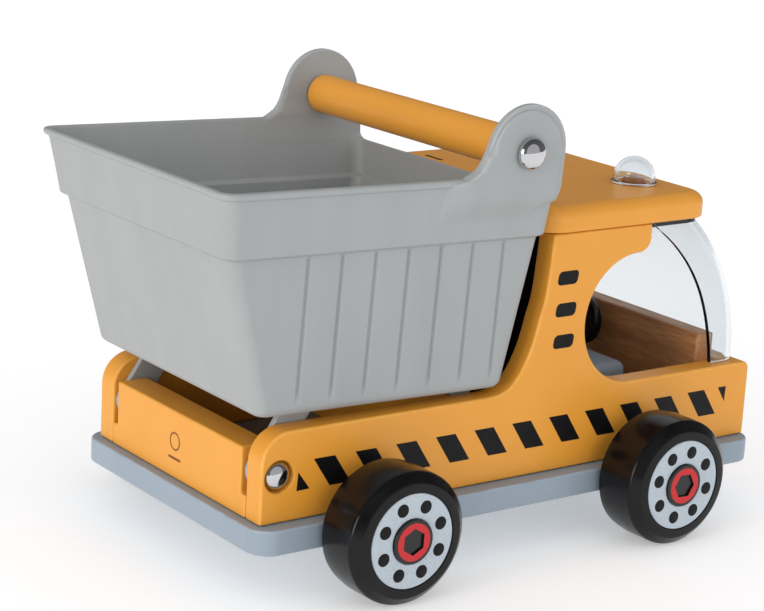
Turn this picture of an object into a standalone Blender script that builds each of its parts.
"""Toy dump truck: painted boards, a moulded tipping bin and four turned wheels, as separate pieces."""

import math

import bmesh
import bpy
from mathutils import Matrix, Vector

MM = 0.001
GAP = 0.3  # play left between pieces that touch, in mm

# Driving sizes, all in mm. X runs to the cab, Y to the truck's left, Z up from the ground.
BOARD = 11.9  # thickness of the side panels, the nose board and the bin rest
SIDE_REAR, SIDE_FRONT = -132.4, 160.6
SIDE_OUT = 70.6  # half the width over the side panels
SIDE_IN = SIDE_OUT - BOARD
BASE_REAR, BASE_FRONT, BASE_OUT = -137.2, 162.2, 78.2
BASE_TOP, BASE_THICK, BASE_CORNER = 34.6, 11.8, 11.0
RAIL_UP, SILL_UP = 42.0, 38.7  # heights above the base board
ROOF_UP, ROOF_THICK = 116.4, 12.4
ROOF_REAR, ROOF_FRONT = 20.0, 124.3
WINDOW_X, WINDOW_UP, WINDOW_R = 80.0, 70.6, 32.0

WHEEL_R, WHEEL_IN, WHEEL_OUT = 31.0, 80.8, 108.0
HUB_R = 22.0
AXLE_R = 2.0
REAR_AXLE_X, FRONT_AXLE_X = -76.8, 84.4

PIVOT_X, PIVOT_Z = -122.9, 56.2  # hinge of the bin
RECESS = 4.5  # depth of the round recess that takes a hinge bolt
BIN_TILT = math.radians(1.4)  # the rim falls this much towards the cab
BIN_REAR_X, BIN_RIM_Z = -162.3, 186.4  # rear edge of the rim
BIN_LONG, BIN_DEEP = 179.8, 102.4
RIM_OUT, BAND_DEEP = 81.8, 30.2
FRONT_UP = 170.0  # top of the bin's front wall, lower than the rim of its sides
WALL = 2.4
HANDLE_X, HANDLE_Z, HANDLE_R = -5.5, 193.8, 9.5
EAR_R = 21.9

STEER_X, STEER_Y, STEER_Z, STEER_R = 127.5, 20.5, 76.6, 13.4
DASH_REAR, DASH_THICK, DASH_UP = 134.4, 10.3, 52.8
DOME_X, DOME_Y, DOME_R = 101.0, 38.4, 10.3

KEEPER_DEEP = 3.6  # the pocket under the base board that takes an axle keeper and its screw head


def clear_scene():
    for obj in list(bpy.data.objects):
        bpy.data.objects.remove(obj, do_unlink=True)


def make_collection(name, hidden=False):
    group = bpy.data.collections.new(name)
    bpy.context.scene.collection.children.link(group)
    group.hide_render = hidden
    return group


def paint(name, rgb, roughness=0.5, metallic=0.0, clear=0.0):
    material = bpy.data.materials.new(name)
    material.use_nodes = True
    shader = material.node_tree.nodes["Principled BSDF"]
    shader.inputs["Base Color"].default_value = (*rgb, 1.0)
    shader.inputs["Roughness"].default_value = roughness
    shader.inputs["Metallic"].default_value = metallic
    shader.inputs["Transmission Weight"].default_value = clear
    return material


def arc(cx, cy, radius, start, stop, count):
    """Points on an arc, angles in degrees, both ends included."""
    turn = [math.radians(start + (stop - start) * i / count) for i in range(count + 1)]
    return [(cx + radius * math.cos(a), cy + radius * math.sin(a)) for a in turn]


def rounded(x0, x1, y0, y1, radius, count=6):
    """A rectangle with round corners, anticlockwise."""
    return (
        arc(x1 - radius, y0 + radius, radius, -90, 0, count)
        + arc(x1 - radius, y1 - radius, radius, 0, 90, count)
        + arc(x0 + radius, y1 - radius, radius, 90, 180, count)
        + arc(x0 + radius, y0 + radius, radius, 180, 270, count)
    )


def object_from(bm, name, group, material, origin=(0.0, 0.0, 0.0), smooth=False):
    """Puts a mesh made in mm into the scene in metres, with its origin at the point given in mm."""
    bmesh.ops.recalc_face_normals(bm, faces=bm.faces)
    place = Vector(origin) * MM
    bmesh.ops.transform(bm, matrix=Matrix.Scale(MM, 4), verts=bm.verts)
    bmesh.ops.translate(bm, vec=-place, verts=bm.verts)
    mesh = bpy.data.meshes.new(name)
    bm.to_mesh(mesh)
    bm.free()
    if smooth:
        mesh.shade_smooth()
        mesh.set_sharp_from_angle(angle=math.radians(35))
    obj = bpy.data.objects.new(name, mesh)
    obj.location = place
    if material:
        obj.data.materials.append(material)
    group.objects.link(obj)
    return obj


def prism(outline, low, high, across="Y"):
    """Extrudes an outline. Across Y it lies in XZ, across Z in XY, across X in YZ."""
    bm = bmesh.new()

    def point(a, b, t):
        return {"Y": (a, t, b), "Z": (a, b, t), "X": (t, a, b)}[across]

    near = [bm.verts.new(point(a, b, low)) for a, b in outline]
    far = [bm.verts.new(point(a, b, high)) for a, b in outline]
    bm.faces.new(near)
    bm.faces.new(reversed(far))
    for i in range(len(outline)):
        j = (i + 1) % len(outline)
        bm.faces.new((near[j], near[i], far[i], far[j]))
    return bm


def loft(rings):
    """Joins rings of equal point counts, with both ends capped."""
    bm = bmesh.new()
    rows = [[bm.verts.new(p) for p in ring] for ring in rings]
    for low, high in zip(rows, rows[1:]):
        for i in range(len(low)):
            j = (i + 1) % len(low)
            bm.faces.new((low[i], low[j], high[j], high[i]))
    bm.faces.new(reversed(rows[0]))
    bm.faces.new(rows[-1])
    return bm


def turned(profile, centre, axis="Y", steps=48):
    """Turns a profile of (radius, distance along the axis). It closes on itself, or on the axis at both ends."""
    bm = bmesh.new()
    cx, cy, cz = centre

    def point(radius, along, turn):
        a, b = radius * math.cos(turn), radius * math.sin(turn)
        return {
            "X": (cx + along, cy + a, cz + b),
            "Y": (cx + a, cy + along, cz + b),
            "Z": (cx + a, cy + b, cz + along),
        }[axis]

    rows = []
    for radius, along in profile:
        if radius == 0.0:
            rows.append([bm.verts.new(point(0.0, along, 0.0))] * steps)
        else:
            rows.append(
                [bm.verts.new(point(radius, along, 2 * math.pi * i / steps)) for i in range(steps)]
            )
    if profile[0][0] > 0.0:
        rows.append(rows[0])
    for low, high in zip(rows, rows[1:]):
        for i in range(steps):
            j = (i + 1) % steps
            corners = []
            for vert in (low[i], low[j], high[j], high[i]):
                if vert not in corners:
                    corners.append(vert)
            if len(corners) > 2:
                bm.faces.new(corners)
    return bm


def rod(radius, low, high, chamfer=0.0):
    """Profile of a solid rod for turned()."""
    if chamfer == 0.0:
        return [(0.0, low), (radius, low), (radius, high), (0.0, high)]
    c = chamfer
    return [
        (0.0, low), (radius - c, low), (radius, low + c),
        (radius, high - c), (radius - c, high), (0.0, high),
    ]


def pipe(inner, outer, low, high):
    """Profile of a rod with a hole through it."""
    return [(inner, low), (outer, low), (outer, high), (inner, high)]


def bevel(obj, width, segments=2, angle=30):
    mod = obj.modifiers.new("edges", "BEVEL")
    mod.width = width * MM
    mod.segments = segments
    mod.limit_method = "ANGLE"
    mod.angle_limit = math.radians(angle)
    mod.use_clamp_overlap = True
    return mod


def combine(obj, other, operation):
    mod = obj.modifiers.new(operation.lower(), "BOOLEAN")
    mod.operation = operation
    mod.solver = "EXACT"
    mod.object = other
    other.display_type = "WIRE"
    return mod


class Truck:
    """Holds the collections and paints while the pieces are made."""

    def __init__(self):
        self.parts = make_collection("toy_dump_truck")
        self.cutters = make_collection("cutters", hidden=True)
        self.orange = paint("orange_paint", (0.72, 0.33, 0.06))
        self.grey = paint("grey_paint", (0.34, 0.40, 0.45))
        self.wood = paint("plain_wood", (0.42, 0.26, 0.13))
        self.black = paint("black_paint", (0.01, 0.01, 0.01), 0.3)
        self.plastic = paint("grey_plastic", (0.45, 0.47, 0.47), 0.45)
        self.pale = paint("pale_plastic", (0.55, 0.60, 0.66), 0.4)
        self.steel = paint("steel", (0.75, 0.75, 0.75), 0.15, 1.0)
        self.clear = paint("clear_plastic", (0.95, 0.96, 0.97), 0.05, 0.0, 0.9)

    def add(self, name, bm, material, origin=(0.0, 0.0, 0.0), smooth=False):
        return object_from(bm, name, self.parts, material, origin, smooth)

    def cut(self, obj, bm):
        cutter = object_from(bm, obj.name + "_cutter", self.cutters, None)
        combine(obj, cutter, "DIFFERENCE")
        return cutter

    def join(self, obj, bm):
        other = object_from(bm, obj.name + "_joined", self.cutters, None)
        combine(obj, other, "UNION")
        return other


def drill(x, y, z, radius, low, high, axis="Z", steps=16):
    """A plain round cutter, from low to high along its axis."""
    return turned(rod(radius, low, high), (x, y, z), axis, steps)


def screw_places():
    """Where the wood screws rise through the base board into the side panels."""
    middle = (SIDE_OUT + SIDE_IN) / 2
    return [(x, side * middle) for side in (-1, 1) for x in (-108.0, 12.0, 132.0)]


def keeper_places():
    return [(x, side * 52.0) for x in (REAR_AXLE_X, FRONT_AXLE_X) for side in (-1, 1)]


def build_base(truck):
    low = BASE_TOP - BASE_THICK
    outline = rounded(BASE_REAR, BASE_FRONT, -BASE_OUT, BASE_OUT, BASE_CORNER, 8)
    obj = truck.add("base_board", prism(outline, low, BASE_TOP, "Z"), truck.grey)
    bevel(obj, 0.8, 1, 60)
    for x in (REAR_AXLE_X, FRONT_AXLE_X):
        half = AXLE_R + GAP
        slot = [(x - half, low - 2), (x + half, low - 2)] + arc(x, WHEEL_R, half, 0, 180, 8)
        truck.cut(obj, prism(slot, -BASE_OUT - 5, BASE_OUT + 5))
    for x, y in screw_places():
        truck.cut(obj, turned(
            [(0, low - 1), (4.6, low - 1), (4.6, low + 0.6), (2.1, low + 3.1),
             (2.1, BASE_TOP + 1), (0, BASE_TOP + 1)], (x, y, 0), "Z", 16))
    for x, y in keeper_places():
        pocket = rounded(x - 5.3, x + 14.3, y - 8.3, y + 8.3, 2.8, 4)
        truck.cut(obj, prism(pocket, low - 1, low + KEEPER_DEEP, "Z"))
        truck.cut(obj, drill(x + 9.0, y, 0, 1.5, low + KEEPER_DEEP - 1, low + 9.6))


def side_outline():
    """Outline of a side panel in XZ, from the lower rear corner anticlockwise."""
    base = BASE_TOP + GAP
    top, rail, sill = BASE_TOP + ROOF_UP - GAP, BASE_TOP + RAIL_UP, BASE_TOP + SILL_UP
    zw = BASE_TOP + WINDOW_UP
    points = [(SIDE_REAR, base), (SIDE_FRONT, base)]
    points += arc(SIDE_FRONT - 4, sill - 4, 4, 0, 90, 4)
    points += arc(WINDOW_X, zw, WINDOW_R, 270, 94, 22)
    points += arc(WINDOW_X - 0.5, zw + WINDOW_R + 6.6, 6.6, -80, 0, 6)
    points += [(WINDOW_X + 6.1, top), (24.8, top)]
    points += [
        (23.6, BASE_TOP + 100.0), (22.0, BASE_TOP + 86.0), (19.3, BASE_TOP + 76.0),
        (16.2, BASE_TOP + 64.6), (12.3, BASE_TOP + 55.6), (7.6, BASE_TOP + 48.4),
        (3.4, BASE_TOP + 44.6), (-2.0, BASE_TOP + 42.6), (-9.0, BASE_TOP + 42.0),
    ]
    points += arc(SIDE_REAR + 14.5, rail - 14.5, 14.5, 90, 180, 8)
    return points


def build_sides(truck):
    for side, name in ((-1, "side_panel_right"), (1, "side_panel_left")):
        near, far = sorted((side * SIDE_IN, side * SIDE_OUT))
        obj = truck.add(name, prism(side_outline(), near, far), truck.orange)
        bevel(obj, 1.3, 1, 50)
        truck.cut(obj, drill(PIVOT_X, 0, PIVOT_Z, 7.6, side * (SIDE_OUT - RECESS),
                             side * (SIDE_OUT + 3), "Y", 32))
        truck.cut(obj, drill(PIVOT_X, 0, PIVOT_Z, 2.5, side * (SIDE_IN - 3),
                             side * (SIDE_OUT - RECESS + 1), "Y", 20))
        for x, y in screw_places():
            if y * side > 0:
                truck.cut(obj, drill(x, y, 0, 1.8, BASE_TOP - 2, BASE_TOP + 16.3))


def build_rear_board(truck):
    """Cross board at the rear, notched at both ends for the arms of the bin."""
    half, slot = SIDE_IN - GAP, 4.1
    low, high, notch = BASE_TOP + GAP, BASE_TOP + 32.2, BASE_TOP + 10.8
    outline = [(-half, low), (half, low), (half, notch), (half - slot, notch), (half - slot, high),
               (slot - half, high), (slot - half, notch), (-half, notch)]
    obj = truck.add("rear_board", prism(outline, SIDE_REAR, SIDE_REAR + 15.6, "X"), truck.orange)
    bevel(obj, 0.7, 2, 60)
    for side in (-1, 1):
        truck.cut(obj, drill(PIVOT_X, 0, PIVOT_Z, 2.2, side * 40.7, side * 60, "Y", 20))


def build_cross_boards(truck):
    half = SIDE_IN - GAP
    low = BASE_TOP + GAP
    nose = truck.add("nose_board", prism(rounded(-half, half, low, BASE_TOP + SILL_UP - 0.4, 1.0, 3),
                                         SIDE_FRONT - BOARD, SIDE_FRONT - 0.4, "X"), truck.orange)
    bevel(nose, 0.7, 2, 60)
    rest = truck.add("bin_rest_board", prism(rounded(-half, half, low, BASE_TOP + 39.4, 1.0, 3),
                                             -19.0, -19.0 + BOARD, "X"), truck.orange)
    bevel(rest, 0.7, 2, 60)
    dash = truck.add("dash_board", prism(rounded(-half, half, low, BASE_TOP + DASH_UP, 1.2, 3),
                                         DASH_REAR, DASH_REAR + DASH_THICK, "X"), truck.wood)
    truck.cut(dash, drill(0, STEER_Y, STEER_Z, 3.0, DASH_REAR - 2, DASH_REAR + 7.3, "X", 24))


def build_roof(truck):
    low, high = BASE_TOP + ROOF_UP, BASE_TOP + ROOF_UP + ROOF_THICK
    rings = []
    for inset, z in ((1.0, low), (0.0, low + 1.0), (0.0, high - 6.2), (0.7, high - 3.6),
                     (2.4, high - 1.5), (4.6, high - 0.4), (7.0, high)):
        ring = rounded(ROOF_REAR + inset * 0.4, ROOF_FRONT - inset, -SIDE_OUT - 0.4 + inset,
                       SIDE_OUT + 0.4 - inset, 12.0 - inset * 0.9, 7)
        rings.append([(x, y, z) for x, y in ring])
    obj = truck.add("cab_roof", loft(rings), truck.orange, smooth=True)
    for side in (-1, 1):
        truck.cut(obj, drill(DOME_X, side * DOME_Y, 0, 6.3, high - 3.3, high + 2, "Z", 32))
    for x, y in roof_screws():
        truck.cut(obj, drill(x, y, 0, 1.5, low - 1, low + 7.3))


def roof_screws():
    """Screws that hold the top flange of the windshield under the roof."""
    return [(96.0, -44.0), (96.0, 44.0)]


def build_back(truck):
    """Board that closes the cab behind the seat."""
    half = SIDE_IN - GAP
    ring = rounded(-half, half, BASE_TOP + GAP, BASE_TOP + ROOF_UP - GAP, 1.0, 3)
    back = truck.add("cab_back_board", prism(ring, 27.0, 32.0, "X"), truck.black)
    bevel(back, 0.5, 1, 60)


def build_seat(truck):
    low, high = BASE_TOP + GAP, BASE_TOP + 31.9
    rings = []
    for inset, z in ((0.0, low), (0.0, high - 4.0), (1.1, high - 1.3), (4.0, high)):
        ring = rounded(73.0 + inset, 118.4 - inset, -27.0 + inset, 27.0 - inset, 5.0 - inset, 5)
        rings.append([(x, y, z) for x, y in ring])
    truck.add("seat_block", loft(rings), truck.grey, smooth=True)


def build_steering(truck):
    wheel = [(0, 0), (10.2, 0), (12.4, 0.7), (STEER_R, 2.2), (STEER_R, 3.8), (12.4, 5.3),
             (10.2, 6.0), (2.8 + GAP, 6.0), (2.8 + GAP, 2.4), (0, 2.4)]
    back = STEER_X - 3.0
    truck.add("steering_wheel", turned(wheel, (back, STEER_Y, STEER_Z), "X", 28), truck.black,
              (STEER_X, STEER_Y, STEER_Z), True)
    pin = rod(2.7, back + 2.4 + GAP, DASH_REAR + 7.0, 0.4)
    truck.add("steering_peg", turned(pin, (0, STEER_Y, STEER_Z), "X", 16), truck.wood,
              (STEER_X, STEER_Y, STEER_Z), True)


def shield_rows():
    """Side outline of the windshield: (front x, rear x of the cheek, height above the base)."""
    return [
        (158.9, 138.2, 39.1), (158.3, 136.4, 50.0), (156.0, 132.6, 64.0), (151.4, 126.6, 78.0),
        (144.6, 118.0, 91.0), (136.8, 107.6, 102.0), (128.8, 97.0, 110.4), (122.8, 89.4, 115.8),
    ]


def build_windshield(truck):
    """A clear bent sheet with a cheek on each side and a flange under the roof."""
    wall, half, corner = 2.2, 65.4, 12.0

    def ring(front, rear, deep):
        out = half - deep
        radius = corner - deep
        curve = arc(front - deep - radius, -out + radius, radius, -90, 0, 6)
        curve += arc(front - deep - radius, out - radius, radius, 0, 90, 6)
        return [(rear, -out)] + curve + [(rear, out)]

    bm = bmesh.new()
    rows = []
    for front, rear, up in shield_rows():
        outer = ring(front, rear, 0.0)
        inner = list(reversed(ring(front, rear, wall)))
        z = BASE_TOP + up
        rows.append([bm.verts.new((x, y, z)) for x, y in outer + inner])
    for low, high in zip(rows, rows[1:]):
        for i in range(len(low)):
            j = (i + 1) % len(low)
            bm.faces.new((low[i], low[j], high[j], high[i]))
    count = len(rows[0])
    for row, flip in ((rows[0], True), (rows[-1], False)):
        for i in range(count // 2 - 1):
            face = (row[i], row[i + 1], row[count - 2 - i], row[count - 1 - i])
            bm.faces.new(tuple(reversed(face)) if flip else face)
    obj = truck.add("windshield", bm, truck.clear, smooth=True)
    top = BASE_TOP + ROOF_UP - GAP
    flange = rounded(88.4, 121.8, -65.0, 65.0, 5.0, 4)
    truck.join(obj, prism(flange, top - 3.4, top, "Z"))
    for x, y in roof_screws():
        truck.cut(obj, drill(x, y, 0, 1.8, top - 6, top + 3))


def build_domes(truck):
    top = BASE_TOP + ROOF_UP + ROOF_THICK + GAP
    for side, name in ((-1, "beacon_dome_right"), (1, "beacon_dome_left")):
        outer = [(11.2, 0.0), (11.2, 0.8)]
        outer += [(DOME_R * math.cos(a), 2.6 + DOME_R * math.sin(a))
                  for a in [math.radians(i * 18) for i in range(5)]]
        inner = DOME_R - 1.6
        hollow = [(inner * math.cos(a), 2.6 + inner * math.sin(a))
                  for a in [math.radians(72 - i * 18) for i in range(5)]]
        profile = [(inner, 0.0)] + outer + [(0.0, 2.6 + DOME_R)]
        closed = [(0.0, 2.6 + inner)] + hollow + profile
        truck.add(name, turned(closed, (DOME_X, side * DOME_Y, top), "Z", 24), truck.clear,
                  smooth=True)
        lamp = [(0.0, -3.0), (6.0, -3.0), (6.0, 1.0), (4.6, 2.6), (0.0, 3.2)]
        truck.add(name.replace("dome", "lamp"),
                  turned(lamp, (DOME_X, side * DOME_Y, top), "Z", 20), truck.orange, smooth=True)


def bin_place(x, y, down):
    """From the bin's own rim plane (x from the rear edge, down from the rim) to the truck."""
    c, s = math.cos(BIN_TILT), math.sin(BIN_TILT)
    return (BIN_REAR_X + x * c - down * s, y, BIN_RIM_Z - x * s - down * c)


def bin_ring(rear, front, half, radius, down):
    return [bin_place(x, y, down) for x, y in rounded(rear, front, -half, half, radius, 6)]


def bin_plate(outline, low, high, lean=0.0):
    """A plate of the bin in its own XZ plane, leaning out from Y low to high as it rises."""
    bm = bmesh.new()
    near = [bm.verts.new(bin_place(x, low + math.copysign(lean, low) * up, -up))
            for x, up in outline]
    far = [bm.verts.new(bin_place(x, high + math.copysign(lean, high) * up, -up))
           for x, up in outline]
    bm.faces.new(near)
    bm.faces.new(reversed(far))
    for i in range(len(outline)):
        j = (i + 1) % len(outline)
        bm.faces.new((near[j], near[i], far[i], far[j]))
    return bm


def ear_outline(radius, inset, depth):
    """Round-headed ear: (distance from the rear rim, height over the rim)."""
    cx, up = HANDLE_X - BIN_REAR_X, 11.2
    points = [(cx + radius, -depth)] + arc(cx, up, radius, 0, 158, 15)
    foot = cx - 31.0 + inset
    return points + [(foot + 3.0, 2.6), (foot - 4.0, -0.6 - inset), (foot - 11.0, -2.4 - inset),
                     (foot - 12.0, -depth)]


def arm_outline():
    """Hinge arm in XZ, from its round end at the pivot up into the floor of the bin."""
    lower = arc(PIVOT_X, PIVOT_Z, 8.3, 150, 350, 12)
    return lower + [(-108.0, 66.0), (-102.0, 76.0), (-94.0, 86.4), (-113.6, 86.4), (-116.4, 80.4)]


def build_bin(truck):
    t = WALL
    band = RIM_OUT - 1.9
    long = BIN_LONG
    rings = [
        bin_ring(34.0, long - 17.8, 67.0, 4.0, BIN_DEEP),
        bin_ring(30.9, long - 15.6, 69.4, 5.0, BIN_DEEP - 1.3),
        bin_ring(28.8, long - 14.4, 70.4, 5.5, BIN_DEEP - 4.8),
        bin_ring(9.4, long - 2.1, 72.4, 6.0, BAND_DEEP + 0.6),
        bin_ring(6.2, long + 0.4, 75.1, 6.5, BAND_DEEP - 1.2),
        bin_ring(1.8, long + 0.8, band - 0.4, 6.5, 3.4),
        bin_ring(0.6, long + 1.4, RIM_OUT - 0.8, 7.0, 2.8),
        bin_ring(-0.5, long + 1.9, RIM_OUT - 0.1, 7.5, 0.9),
        bin_ring(0.1, long + 1.4, RIM_OUT - 0.6, 7.2, 0.0),
        bin_ring(2.4, long - 1.1, band - 1.7, 6.0, 0.0),
        bin_ring(3.0, long - 1.7, band - 2.3, 5.6, 1.0),
        bin_ring(6.2 + t, long + 0.4 - t, 75.1 - t, 5.2, BAND_DEEP - 1.6),
        bin_ring(9.4 + t, long - 2.1 - t, 72.4 - t, 5.0, BAND_DEEP + 0.4),
        bin_ring(28.8 + t, long - 14.4 - t, 70.4 - t, 4.6, BIN_DEEP - 7.0),
        bin_ring(33.6 + t, long - 18.4 - t, 66.6 - t, 3.6, BIN_DEEP - t),
    ]
    obj = truck.add("bin_shell", loft(rings), truck.plastic, (PIVOT_X, 0, PIVOT_Z), True)
    sill = [(-75.3, FRONT_UP), (75.3, FRONT_UP), (77.6, 188.0), (-77.6, 188.0)]
    truck.cut(obj, prism(sill, BIN_REAR_X + long - 8.5, BIN_REAR_X + long + 6, "X"))
    for side in (-1, 1):
        near, far = sorted((side * (band - 1.2), side * (band + 2.4)))
        truck.join(obj, bin_plate(ear_outline(EAR_R, 0.0, 7.0), near, far, 0.04))
        near, far = sorted((side * (band + 1.8), side * (band + 3.3)))
        truck.join(obj, bin_plate(ear_outline(EAR_R - 2.3, 0.6, 5.2), near, far, 0.04))
        near, far = sorted((side * 55.3, side * 58.3))
        truck.join(obj, prism(arm_outline(), near, far))
        near, far = sorted((side * 30.0, side * 56.0))
        foot = [(-18.4, BASE_TOP + 39.8), (-7.8, BASE_TOP + 39.8), (-5.6, BASE_TOP + 50.6),
                (-20.6, BASE_TOP + 50.6)]
        truck.join(obj, prism(foot, near, far))
        for k in range(7):
            truck.cut(obj, groove(side, k))
        truck.cut(obj, drill(PIVOT_X, 0, PIVOT_Z, 2.5, side * 50, side * 64, "Y", 24))
        truck.cut(obj, drill(HANDLE_X, 0, HANDLE_Z, 2.5, side * 60, side * 95, "Y", 24))


def groove(side, k):
    """One upright V groove in the bin's side wall."""
    top_x, low_x = -113.9 + 17.85 * k, -115.8 + 17.8 * k
    bm = bmesh.new()
    rows = []
    for x, z, wall in ((top_x, 154.6, 72.4), (low_x, 85.4, 70.3)):
        rows.append([(x - 1.5, wall + 0.7), (x + 1.5, wall + 0.7), (x, wall - 1.0), z])
    corners = [[bm.verts.new((x, side * y, row[3])) for x, y in row[:3]] for row in rows]
    bm.faces.new(corners[0])
    bm.faces.new(reversed(corners[1]))
    for i in range(3):
        j = (i + 1) % 3
        bm.faces.new((corners[0][j], corners[0][i], corners[1][i], corners[1][j]))
    return bm


def build_handle(truck):
    reach = 78.5
    obj = truck.add("handle_dowel", turned(rod(HANDLE_R, -reach, reach, 1.0),
                                           (HANDLE_X, 0, HANDLE_Z), "Y", 24),
                    truck.orange, (HANDLE_X, 0, HANDLE_Z), True)
    for side, name in ((-1, "handle_screw_right"), (1, "handle_screw_left")):
        truck.cut(obj, drill(HANDLE_X, 0, HANDLE_Z, 2.5, side * (reach + 2), side * (reach - 15.3),
                             "Y", 20))
        truck.add(name, dome_screw(HANDLE_X, HANDLE_Z, side * 84.3, 7.4, side, 2.2, 20.0),
                  truck.steel, (HANDLE_X, 0, HANDLE_Z), True)


def dome_screw(x, z, seat, radius, side, shank, reach):
    """A round-headed screw across the truck. seat is where the underside of its head lies."""
    head = [(radius * math.cos(a), seat + side * (0.9 + 0.62 * radius * math.sin(a)))
            for a in [math.radians(i * 22.5) for i in range(4)]]
    profile = [(0.0, seat - side * reach), (shank, seat - side * reach), (shank, seat),
               (radius, seat)] + head + [(0.0, seat + side * (0.9 + 0.62 * radius))]
    return turned(profile, (x, 0, z), "Y", 20)


def build_hinge(truck):
    for side, name in ((-1, "hinge_bolt_right"), (1, "hinge_bolt_left")):
        seat = side * (SIDE_OUT - RECESS + GAP)
        bolt = dome_screw(PIVOT_X, PIVOT_Z, seat, 6.8, side, 2.2 - GAP, 24.8)
        truck.add(name, bolt, truck.steel, (PIVOT_X, 0, PIVOT_Z), True)


def wheel_profile(side):
    """Turned wooden wheel with a stepped, rounded outer shoulder and a shallow pocket for the hub."""
    r = WHEEL_R
    low, high = side * WHEEL_IN, side * WHEEL_OUT
    s = side
    return [
        (AXLE_R + GAP, low), (r - 4.0, low), (r - 1.1, low + s * 1.2), (r, low + s * 3.8),
        (r, high - s * 7.4), (r - 0.9, high - s * 4.2), (r - 2.7, high - s * 2.0),
        (r - 5.2, high - s * 0.7), (r - 7.6, high), (HUB_R + GAP, high), (HUB_R + GAP, high - s * 2.2),
        (AXLE_R + GAP, high - s * 2.2),
    ]


def build_wheel(truck, x, side, name):
    centre = (x, 0, WHEEL_R)
    truck.add("wheel_" + name, turned(wheel_profile(side), centre, "Y", 36), truck.black, centre, True)
    face = side * (WHEEL_OUT - 2.2 + GAP)
    disc = [(0.0, face), (HUB_R, face), (HUB_R, face + side * 1.2), (HUB_R - 0.6, face + side * 1.7),
            (10.6, face + side * 1.7), (10.6, face + side * 1.0), (0.0, face + side * 1.0)]
    truck.add("hub_disc_" + name, turned(disc, centre, "Y", 28), truck.pale, centre, True)
    low = face + side * (1.0 + GAP)
    cap = [(0.0, low), (10.3, low), (10.3, low + side * 1.2), (9.7, low + side * 1.7),
           (0.0, low + side * 1.7)]
    obj = truck.add("hub_cap_" + name, turned(cap, centre, "Y", 20), truck.black, centre, True)
    hexagon = arc(x, WHEEL_R, 6.0, 0, 300, 5)
    near, far = sorted((low + side * 0.7, low + side * 4))
    truck.cut(obj, prism(hexagon, near, far))
    inner = pipe(AXLE_R + GAP, 5.2, side * (BASE_OUT + GAP), side * (WHEEL_IN - GAP))
    truck.add("spacer_" + name, turned(inner, centre, "Y", 16), truck.pale, centre, True)


def build_running_gear(truck):
    for x, where in ((REAR_AXLE_X, "rear"), (FRONT_AXLE_X, "front")):
        reach = WHEEL_OUT - 2.6
        centre = (x, 0, WHEEL_R)
        truck.add("axle_" + where, turned(rod(AXLE_R, -reach, reach, 0.4), centre, "Y", 16),
                  truck.steel, centre, True)
        for side, name in ((-1, "right"), (1, "left")):
            build_wheel(truck, x, side, where + "_" + name)


def build_keepers(truck):
    """Small moulded keepers let into the base from below, across the axle slots, with a screw each."""
    low = BASE_TOP - BASE_THICK
    top = low + KEEPER_DEEP - GAP
    for number, (x, y) in enumerate(keeper_places(), 1):
        plate = rounded(x - 5.0, x + 14.0, y - 8.0, y + 8.0, 2.5, 4)
        obj = truck.add("axle_keeper_%d" % number, prism(plate, top - 1.6, top, "Z"), truck.pale)
        rib = [(x - 1.9, y - 6.0), (x + 1.9, y - 6.0), (x + 1.9, y + 6.0), (x - 1.9, y + 6.0)]
        truck.join(obj, prism(rib, top - 1.0, WHEEL_R - AXLE_R - GAP, "Z"))
        truck.cut(obj, drill(x + 9.0, y, 0, 1.6, top - 4, top + 2))
        under = top - 1.6 - GAP
        screw = [(0.0, under - 1.3), (2.0, under - 1.2), (2.9, under - 0.6), (3.0, under),
                 (1.2, under), (1.2, low + 8.8), (0.0, low + 9.3)]
        truck.add("keeper_screw_%d" % number, turned(screw, (x + 9.0, y, 0), "Z", 12),
                  truck.steel, smooth=True)


def build_screws(truck):
    low = BASE_TOP - BASE_THICK
    for number, (x, y) in enumerate(screw_places(), 1):
        screw = [(0.0, low + 0.3), (4.1, low + 0.3), (4.1, low + 0.7), (1.5, low + 3.3),
                 (1.5, BASE_TOP + 14.0), (0.0, BASE_TOP + 16.0)]
        truck.add("base_screw_%d" % number, turned(screw, (x, y, 0), "Z", 12), truck.steel,
                  smooth=True)
    top = BASE_TOP + ROOF_UP - GAP
    for (x, y), side in zip(roof_screws(), ("right", "left")):
        under = top - 3.4 - GAP
        screw = [(0.0, under - 1.6), (2.2, under - 1.4), (3.2, under - 0.6), (3.2, under),
                 (1.2, under), (1.2, top + 6.9), (0.0, top + 7.2)]
        truck.add("shield_screw_" + side, turned(screw, (x, y, 0), "Z", 12), truck.steel,
                  smooth=True)


def main():
    clear_scene()
    truck = Truck()
    build_base(truck)
    build_sides(truck)
    build_rear_board(truck)
    build_cross_boards(truck)
    build_roof(truck)
    build_back(truck)
    build_seat(truck)
    build_steering(truck)
    build_windshield(truck)
    build_domes(truck)
    build_bin(truck)
    build_handle(truck)
    build_hinge(truck)
    build_running_gear(truck)
    build_keepers(truck)
    build_screws(truck)


main()
